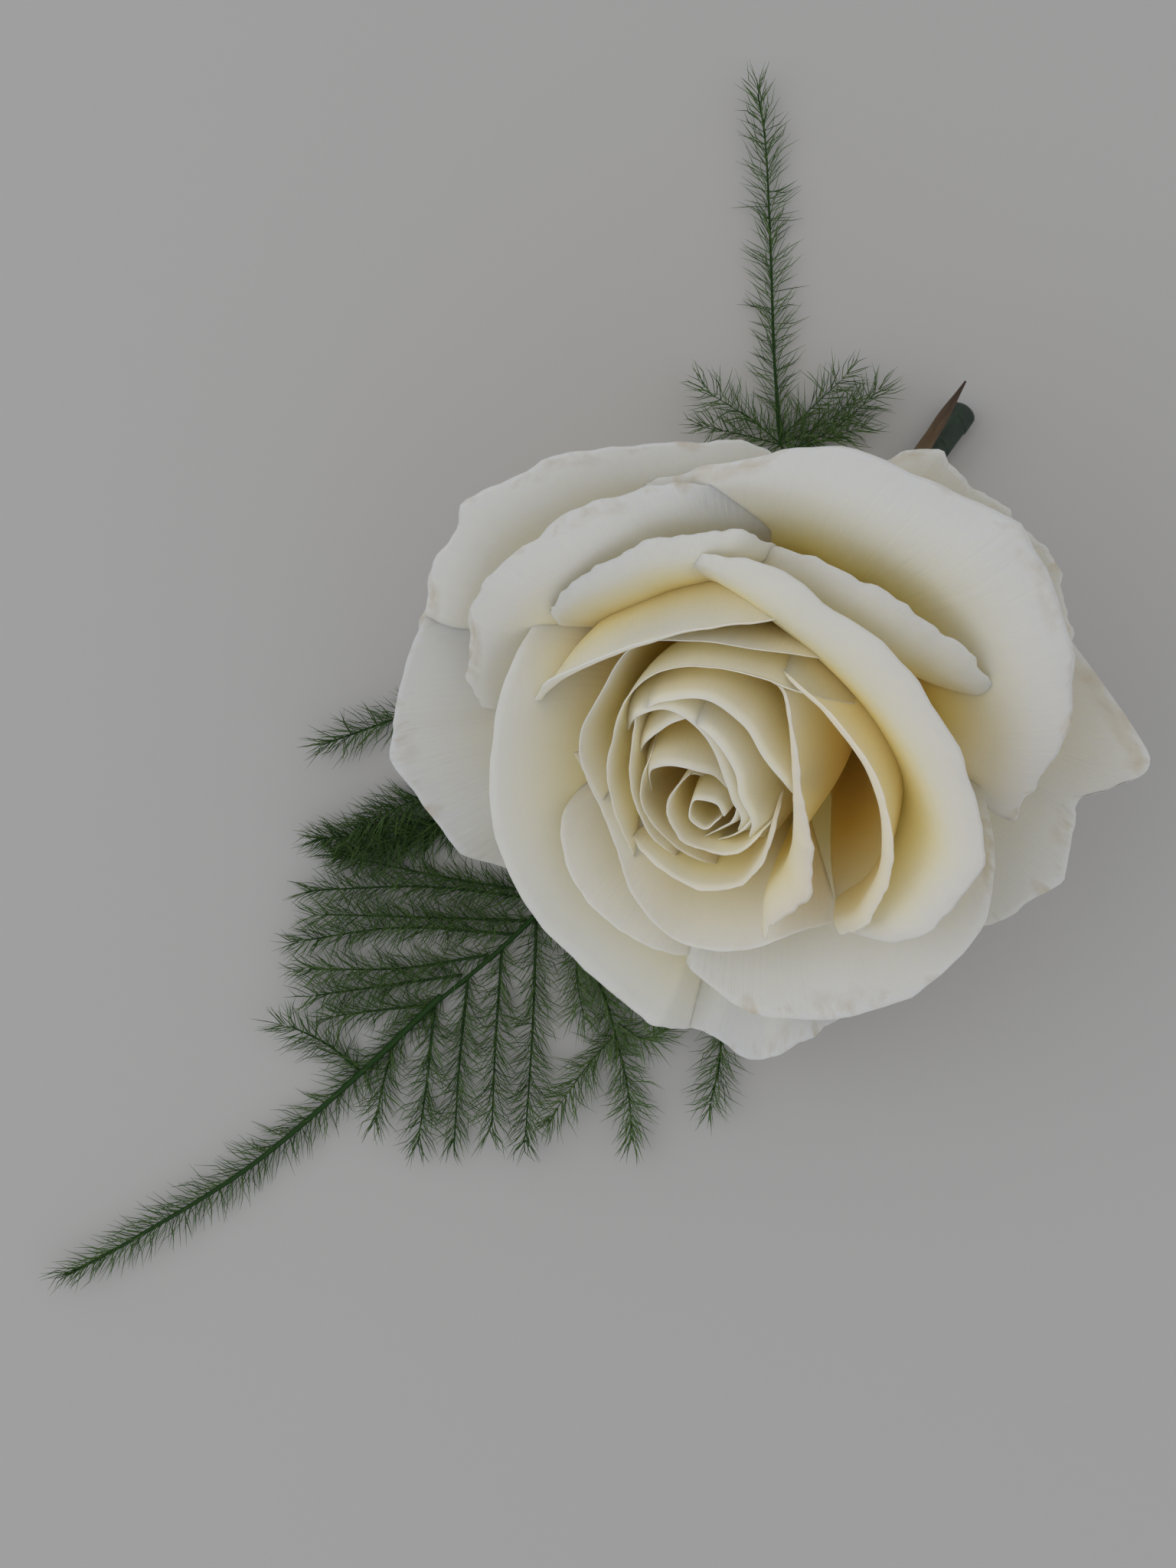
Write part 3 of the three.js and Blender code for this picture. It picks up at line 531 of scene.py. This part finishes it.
around = np.linspace(0, 2 * math.pi, HIP_SIDES, endpoint=False)
hip_rings = []
for rise in np.linspace(-0.48, 0.48, HIP_ROWS) * math.pi:
    reach = HIP_RADIUS * math.cos(rise) * (HIP_SHARE + 0.02 * math.sin(rise))
    reach = reach * (1 - RIB_DEPTH * (1 + np.cos(HIP_RIBS * around)) * math.cos(rise))
    hip_rings.append(ring(np.degrees(around), reach, HIP_MIDDLE + HIP_HALF_LENGTH * math.sin(rise)))
hip_material = plant_material("hip_waxy_green", (0.09, 0.15, 0.04), (0.2, 0.27, 0.09), 0.45, 1500)
place_piece("visual_rose_hip", round_mesh("rose_hip_skin", leaned(np.stack(hip_rings))), hip_material,
            "rose_hip")

# ------------------------------------------------------------------------------------------------------------
# Five narrow sepals grow from the hip under the petals. They are leathery, olive green at the foot, browner
# to the tip, and creased along the middle. The first bends back over the taped stem.
SEPAL_HALF_WIDTHS = (2.6, 3, 2.4, 1.4, 1.0, 0.9, 0.12)
SEPALS = [
    [(57, 7.6, -4), (60, 15, -12), (61.6, 26, -22.9), (61.8, 38.8, -29.7)],
    [(129, 7.6, -4), (129, 15, -4.5), (129, 24, -8), (129, 32, -14)],
    [(201, 7.6, -4), (201, 15, -4), (201, 24, -1.5), (201, 32, 3)],
    [(273, 7.6, -4), (273, 15, -4), (273, 24, -1.5), (273, 32, 3)],
    [(345, 7.6, -4), (345, 15, -4.5), (345, 24, -8), (345, 32, -14)],
]
SEPAL_THICKNESS = 0.5
SEPAL_CREASE = 0.35
SEPAL_ROWS = 61
SEPAL_COLUMNS = 13
SEPAL_STOPS = [(0.3, (0.12, 0.17, 0.05)), (0.75, (0.12, 0.13, 0.045)), (1.0, (0.12, 0.075, 0.035)),
               (1.25, (0.05, 0.028, 0.02))]
STOPS_SPAN = 1.4


def sepal_grid(stations):
    """Rows of points across a sepal from its foot to its tip, creased along the middle."""
    t = np.linspace(0, 1, SEPAL_ROWS)
    spine = smooth_through([ring(*station) for station in stations], t)
    forward = unit(np.gradient(spine, axis=0))
    sideways = unit(np.cross(np.array([0.0, 0.0, 1.0]), forward))
    upwards = np.cross(forward, sideways)
    half = along(SEPAL_HALF_WIDTHS, t) * (1 + 0.08 * np.sin(37 * t))
    across = np.linspace(-1, 1, SEPAL_COLUMNS)
    crease = SEPAL_CREASE * np.abs(across)[None, :] * half[:, None]
    grid = spine[:, None] + (half[:, None] * across)[..., None] * sideways[:, None]
    return grid + crease[..., None] * upwards[:, None], np.tile(t[:, None], (1, SEPAL_COLUMNS))


def sepal_skin():
    """Matte sepal skin that runs from green at the foot through olive brown to a dark tip, finely ribbed."""
    material = bpy.data.materials.new("sepal_olive_brown")
    material.use_nodes = True
    tree = material.node_tree
    shader = tree.nodes["Principled BSDF"]
    shader.inputs["Roughness"].default_value = 0.6
    place = tree.nodes.new("ShaderNodeUVMap")
    place.uv_map = "petal_map"
    split = tree.nodes.new("ShaderNodeSeparateXYZ")
    tree.links.new(place.outputs["UV"], split.inputs[0])
    mottle = tree.nodes.new("ShaderNodeTexNoise")
    mottle.inputs["Scale"].default_value = 14
    mottle.inputs["Detail"].default_value = 6
    tree.links.new(place.outputs["UV"], mottle.inputs["Vector"])
    shift = tree.nodes.new("ShaderNodeMath")
    shift.operation = "MULTIPLY_ADD"
    shift.inputs[1].default_value = 0.5
    tree.links.new(mottle.outputs["Fac"], shift.inputs[0])
    tree.links.new(split.outputs["Y"], shift.inputs[2])
    ramp = colour_ramp(tree, [(position / STOPS_SPAN, colour) for position, colour in SEPAL_STOPS])
    scaled = tree.nodes.new("ShaderNodeMath")
    scaled.operation = "DIVIDE"
    scaled.inputs[1].default_value = STOPS_SPAN
    tree.links.new(shift.outputs[0], scaled.inputs[0])
    tree.links.new(scaled.outputs[0], ramp.inputs["Fac"])
    tree.links.new(ramp.outputs["Color"], shader.inputs["Base Color"])
    lines = tree.nodes.new("ShaderNodeTexWave")
    lines.inputs["Scale"].default_value = 5
    lines.inputs["Distortion"].default_value = 1.5
    tree.links.new(place.outputs["UV"], lines.inputs["Vector"])
    roughen(tree, lines.outputs["Fac"], 0.4, 0.1)
    return material


sepal_material = sepal_skin()
for number, stations in enumerate(SEPALS, 1):
    grid, climb = sepal_grid(stations)
    mesh = sheet_mesh(f"sepal_skin_{number}", grid, climb, SEPAL_THICKNESS)
    place_piece(f"visual_sepal_{number}", mesh, sepal_material, f"sepal_{number}")

# ------------------------------------------------------------------------------------------------------------
# The stem is green and smooth: it leaves the hip, bends down and lies on the table. Waxed crepe tape is wound
# round its outer part in a spiral that overlaps itself, and is pinched shut over the cut end. A place is x, y
# and height, with x and y from the foot of the flower.
ground = np.array([flower_foot[0], flower_foot[1], 0])
STEM_PATH = [(3.4, 5.2, 3.7), (5.4, 8.3, 2.6), (9.5, 14.3, 2.2), (18, 26.4, 2.2), (26.6, 37.5, 2.2)]
TAPE_PATH = [(9, 13.6, 2.2), (18, 26.4, 2.2), (27.2, 38.4, 2.2)]
STEM_RADIUS = 1.45
TAPE_RADIUS = 2.0
TAPE_STEP = 0.16
TAPE_PITCH = 4.2
TAPE_CRINKLE = 0.025
PINCH_START = 0.955


def tube_rings(path, radii, sides, steps):
    """Rings round a smooth path. radii(t, angle) gives the radius at each part of it."""
    t = np.linspace(0, 1, steps)
    spine = smooth_through(path, t)
    forward = unit(np.gradient(spine, axis=0))
    sideways = unit(np.cross(np.array([0.0, 0.0, 1.0]), forward))
    upwards = np.cross(forward, sideways)
    angle = np.linspace(0, 2 * math.pi, sides, endpoint=False)
    run = np.concatenate([[0], np.linalg.norm(np.diff(spine, axis=0), axis=1).cumsum()])
    radius = radii(t[:, None], angle[None, :], run[:, None])[..., None]
    return spine[:, None] + radius * (np.cos(angle)[None, :, None] * sideways[:, None]
                                      + np.sin(angle)[None, :, None] * upwards[:, None])


def stem_radii(t, angle, run):
    """A stem that is nearly round and nearly even."""
    return STEM_RADIUS * (1 + 0.03 * np.sin(3 * angle + 0.4 * run) + 0.02 * np.sin(1.7 * run))


def tape_radii(t, angle, run):
    """Windings that step down where each overlaps the next, with crinkles, a pinched end and a cut start."""
    wound = (run / TAPE_PITCH + angle / (2 * math.pi)) % 1
    crinkle = TAPE_CRINKLE * np.sin(9 * angle + 2.1 * run) * np.sin(1.3 * run + 2 * angle)
    pinched = np.sqrt(np.clip(1 - ((t - PINCH_START) / (1 - PINCH_START)).clip(0, 1) ** 2, 0.03, 1))
    start = 0.9 + 0.1 * (t / 0.02).clip(0, 1)
    return (TAPE_RADIUS + TAPE_STEP * (1 - wound) + crinkle) * pinched * start


stem_material = plant_material("stem_green", (0.07, 0.12, 0.035), (0.13, 0.2, 0.07), 0.5, 1200)
stem_rings = tube_rings(STEM_PATH, stem_radii, 24, 90) + ground
place_piece("visual_stem", round_mesh("stem_skin", stem_rings), stem_material, "stem")
tape_material = plant_material("tape_dark_green", (0.008, 0.02, 0.011), (0.016, 0.04, 0.022), 0.5, 2600)
tape_rings = tube_rings(TAPE_PATH, tape_radii, 48, 220) + ground
place_piece("visual_florist_tape", round_mesh("tape_skin", tape_rings), tape_material, "florist_tape")

# ------------------------------------------------------------------------------------------------------------
# Sprigs of asparagus fern lie round the rose, their stalks bound in with the stem. A wiry stalk carries side
# branchlets, and both bear tufts of soft needles that fan forward on each side. Lines are x and y from the
# foot of the flower. Green is how light a sprig is, and needles how many stand on each side of a tuft.
SPRIGS = [
    dict(name="fern_frond_left", green=0.05, stalk_radius=0.6, stalk_height=2.0,
         stalk=[(7, 14), (-13, -9), (-36, -36), (-53, -51), (-62, -59.5)],
         spike=[(-50, -48), (-62, -59.5), (-78, -73), (-94, -83), (-105, -89)],
         branchlets=[[(-35, -33), (-50, -30.5), (-66, -27)], [(-35, -34), (-52, -32), (-69, -32.5)],
                     [(-37, -37), (-52, -36.5), (-68, -36)], [(-39, -39), (-56, -38), (-71, -40)],
                     [(-43, -42), (-56, -44), (-70, -44)], [(-47, -45), (-58, -46.5), (-69, -48)],
                     [(-51, -49.5), (-58, -50), (-66, -51)], [(-62, -59), (-67, -55), (-73, -52)],
                     [(-36, -36), (-36.5, -52), (-37.6, -69)], [(-36, -36), (-33, -38), (-31, -40)],
                     [(-41, -40.5), (-42, -55), (-42.5, -67.5)], [(-46, -45), (-47.3, -58), (-48, -69)],
                     [(-51, -49.5), (-52, -60), (-53.4, -70)], [(-57, -55), (-58.5, -61), (-59.5, -66)]]),
    dict(name="fern_frond_bottom", green=0.3, needles=5,
         stalk=[(9, 9), (-13, -16), (-27, -40), (-25, -50)],
         spike=[(-31, -38), (-26.8, -46), (-24.3, -54), (-22.5, -62), (-22, -68.5)],
         branchlets=[[(-24.7, -54), (-29, -59), (-34, -66)], [(-24, -52), (-20, -54.4), (-16.5, -52.5)],
                     [(-27, -44), (-22, -48), (-18.5, -51)], [(-30, -40), (-30, -46), (-29, -51)]]),
    dict(name="fern_tip_bottom", green=0.2, stalk=[(13.5, 13), (-2, -22), (-9, -48)],
         spike=[(-9, -48), (-9, -57), (-10.5, -64)], branchlets=[]),
    dict(name="fern_tip_left", green=0.0, stalk=[(12, 21.5), (-20, 8), (-50, -6)],
         spike=[(-50, -5), (-60, -8.5), (-67, -11)], branchlets=[]),
    dict(name="fern_clump_left", green=-0.15, needles=8, stalk=[(9.5, 18), (-20, -6), (-46, -21)],
         spike=[(-44, -20), (-55, -23.5), (-68, -25)],
         branchlets=[[(-44, -18), (-54, -19.5), (-62, -23)], [(-44, -22), (-55, -25.5), (-65, -27)]]),
    dict(name="fern_frond_top", green=0.2, needles=3,
         stalk=[(15.5, 26.5), (4, 29), (0, 33), (-1, 46)],
         spike=[(0, 34), (-1, 45.5), (-1.5, 60), (-2.3, 76.6), (-3.6, 85)],
         branchlets=[[(0, 33), (-4.5, 36.7), (-12, 41.3)], [(0, 33), (-6, 34.5), (-12, 35.5)],
                     [(0, 34), (4.5, 38.4), (9.5, 43)], [(0, 33), (6, 36), (11, 39.5)],
                     [(1, 32), (8, 35.5), (14.5, 41)], [(1, 32), (6, 33.5), (12, 35.5)]]),
]
STALK_RADIUS = 0.3
STALK_SHARES = (1, 0.85, 0.4)
STALK_TAPER = 0.45
STALK_SIDES = 6
STALK_GAP = 1.2
STALK_SHADE = 0.05
LINE_HEIGHT = 0.9
GREEN = 0.35
GREEN_SPREAD = 0.27
NEEDLE_RADIUS = 0.075
NEEDLE_LENGTH = 5.4
LENGTH_SHARES = (0.7, 1.1)
NEEDLE_FAN = (16, 70)
TUFT_SWING = 9
NEEDLE_TILT = (10, 16)
LEAST_HEIGHT = 0.15
NEEDLE_POINTS = 9
TUFT_GAP = 1.0


def line_points(line, gap, lift):
    """Points every gap along a smooth line, low on the table at its foot and lifted towards its tip."""
    t = np.linspace(0, 1, 200)
    flat = smooth_through([(x, y, 0) for x, y in line], t)
    run = np.concatenate([[0], np.linalg.norm(np.diff(flat, axis=0), axis=1).cumsum()])
    t = np.interp(np.arange(0, run[-1], gap), run, t)
    points = smooth_through([(x, y, 0) for x, y in line], t)
    points[:, 2] = LINE_HEIGHT + lift * t**2
    return points


def needle_tufts(points, per_side, draw):
    """Feet, middles and tips of the needles along a line. Needles fan forward on both sides."""
    forward = unit(np.gradient(points, axis=0))
    sideways = np.stack([-forward[:, 1], forward[:, 0], 0 * forward[:, 0]], -1)
    count = len(points) * 2 * per_side
    at = np.repeat(np.arange(len(points)), 2 * per_side)
    side = np.tile(np.repeat([-1, 1], per_side), len(points))
    tuft = draw.normal(0, TUFT_SWING, 2 * len(points)).repeat(per_side)
    fan = np.radians(draw.uniform(*NEEDLE_FAN, count) + tuft)
    tilt = np.radians(draw.normal(*NEEDLE_TILT, count))
    place = at / max(len(points) - 1, 1)
    length = NEEDLE_LENGTH * np.interp(place, [0, 0.15, 0.8, 1], [0.7, 1, 1, 0.8])
    length = length * draw.uniform(*LENGTH_SHARES, count)
    fan = fan * np.interp(place, [0, 0.85, 1], [1, 1, 0.5])
    heading = np.cos(fan)[:, None] * forward[at] + (side * np.sin(fan))[:, None] * sideways[at]
    heading = np.cos(tilt)[:, None] * heading + np.sin(tilt)[:, None] * np.array([0.0, 0.0, 1.0])
    feet = points[at] + draw.normal(0, 0.12, (count, 3)) * (1, 1, 0)
    bend = draw.normal(0, 0.08, (count, 3)) * length[:, None]
    tips = feet + length[:, None] * heading
    middles = (feet + tips) / 2 + bend * (1, 1, 0.5)
    for part in (middles, tips):
        part[:, 2] = part[:, 2].clip(LEAST_HEIGHT)
    return feet, middles, tips


def needle_skins(feet, middles, tips, radius):
    """Three-sided tapered needles through foot, middle and tip, as one set of points and faces."""
    forward = unit(tips - feet)
    first = unit(np.cross(forward, np.array([0.0, 0.0, 1.0])))
    second = np.cross(forward, first)
    rings = []
    for centre, share in ((feet, 0.8), (middles, 1.0), (tips, 0.15)):
        for k in range(3):
            angle = 2 * math.pi * k / 3
            rings.append(centre + share * radius * (math.cos(angle) * first + math.sin(angle) * second))
    points = np.stack(rings, 1).reshape(-1, 3)
    faces = []
    for step in (0, 3):
        for k in range(3):
            faces.append([step + k, step + (k + 1) % 3, step + 3 + (k + 1) % 3, step + 3 + k])
    starts = NEEDLE_POINTS * np.arange(len(feet))[:, None, None]
    faces = (np.array(faces)[None] + starts).reshape(-1, 4)
    ends = (np.array([[2, 1, 0], [6, 7, 8]])[None] + starts).reshape(-1, 3)
    return points, faces, ends


def fern_skin():
    """Needles in dark green that differ a little from each other and are paler at the tips."""
    material = bpy.data.materials.new("fern_dark_green")
    material.use_nodes = True
    tree = material.node_tree
    shader = tree.nodes["Principled BSDF"]
    shader.inputs["Roughness"].default_value = 0.6
    shader.inputs["Specular IOR Level"].default_value = 0.15
    place = tree.nodes.new("ShaderNodeUVMap")
    place.uv_map = "needle_map"
    split = tree.nodes.new("ShaderNodeSeparateXYZ")
    tree.links.new(place.outputs["UV"], split.inputs[0])
    ramp = colour_ramp(tree, [(0.0, (0.012, 0.042, 0.008)), (1.0, (0.12, 0.21, 0.06))])
    tree.links.new(split.outputs["X"], ramp.inputs["Fac"])
    paler = tree.nodes.new("ShaderNodeMix")
    paler.data_type = "RGBA"
    paler.inputs["B"].default_value = (0.11, 0.18, 0.055, 1)
    tree.links.new(split.outputs["Y"], paler.inputs["Factor"])
    tree.links.new(ramp.outputs["Color"], paler.inputs["A"])
    tree.links.new(paler.outputs["Result"], shader.inputs["Base Color"])
    return material


def stalk_rings(spots, radius):
    """Rings of points round a thin stalk that tapers to its tip."""
    angle = np.linspace(0, 2 * math.pi, STALK_SIDES, endpoint=False)[None, :, None]
    forward = unit(np.gradient(spots, axis=0))
    sideways = np.stack([-forward[:, 1], forward[:, 0], 0 * forward[:, 0]], -1)[:, None]
    taper = radius * np.linspace(1, STALK_TAPER, len(spots))[:, None, None]
    return spots[:, None] + taper * (np.cos(angle) * sideways + np.sin(angle) * np.array([0.0, 0.0, 1.0]))


fern_material = fern_skin()
for number, sprig in enumerate(SPRIGS):
    draw = np.random.default_rng(50 + number)
    points, faces, ends, shades = [], [], [], []
    total = 0
    lines = [sprig["spike"], *sprig["branchlets"]]
    for place, line in enumerate(lines):
        lift = draw.uniform(0.5, 3.5) if place else 1.5
        tufts = needle_tufts(line_points(line, TUFT_GAP, lift), sprig.get("needles", 4), draw)
        skin, quads, tris = needle_skins(*tufts, NEEDLE_RADIUS)
        count = len(tufts[0])
        shade = draw.normal(GREEN + sprig["green"], GREEN_SPREAD, count).clip(0, 1).repeat(NEEDLE_POINTS)
        tip = np.tile(np.repeat([0, 0.1, 0.5], 3), count)
        points.append(skin)
        faces.append(quads + total)
        ends.append(tris + total)
        shades.append(np.stack([shade, tip], -1))
        total += len(skin)
    for place, line in enumerate([sprig["stalk"], *lines]):
        spots = line_points(line, STALK_GAP, 1.0 if place else 0.0)
        share = STALK_SHARES[min(place, 2)]
        if place < 2:
            spots[:, 2] = spots[:, 2].clip(sprig.get("stalk_height", 0))
        skin = stalk_rings(spots, share * sprig.get("stalk_radius", STALK_RADIUS)).reshape(-1, 3)
        points.append(skin)
        faces.append(tube_quads(len(spots), STALK_SIDES) + total)
        shades.append(np.tile([[STALK_SHADE, 0.0]], (len(skin), 1)))
        total += len(skin)
    quads = np.concatenate(faces)
    tris = np.concatenate(ends)
    corners = np.concatenate([quads.ravel(), tris.ravel()])
    mesh = bpy.data.meshes.new(sprig["name"] + "_needles")
    mesh.from_pydata(((np.concatenate(points) + ground) * MM).tolist(), [], quads.tolist() + tris.tolist())
    layer = mesh.uv_layers.new(name="needle_map")
    layer.data.foreach_set("uv", np.concatenate(shades)[corners].astype(np.float32).ravel())
    mesh.update()
    place_piece("visual_" + sprig["name"], mesh, fern_material, sprig["name"])
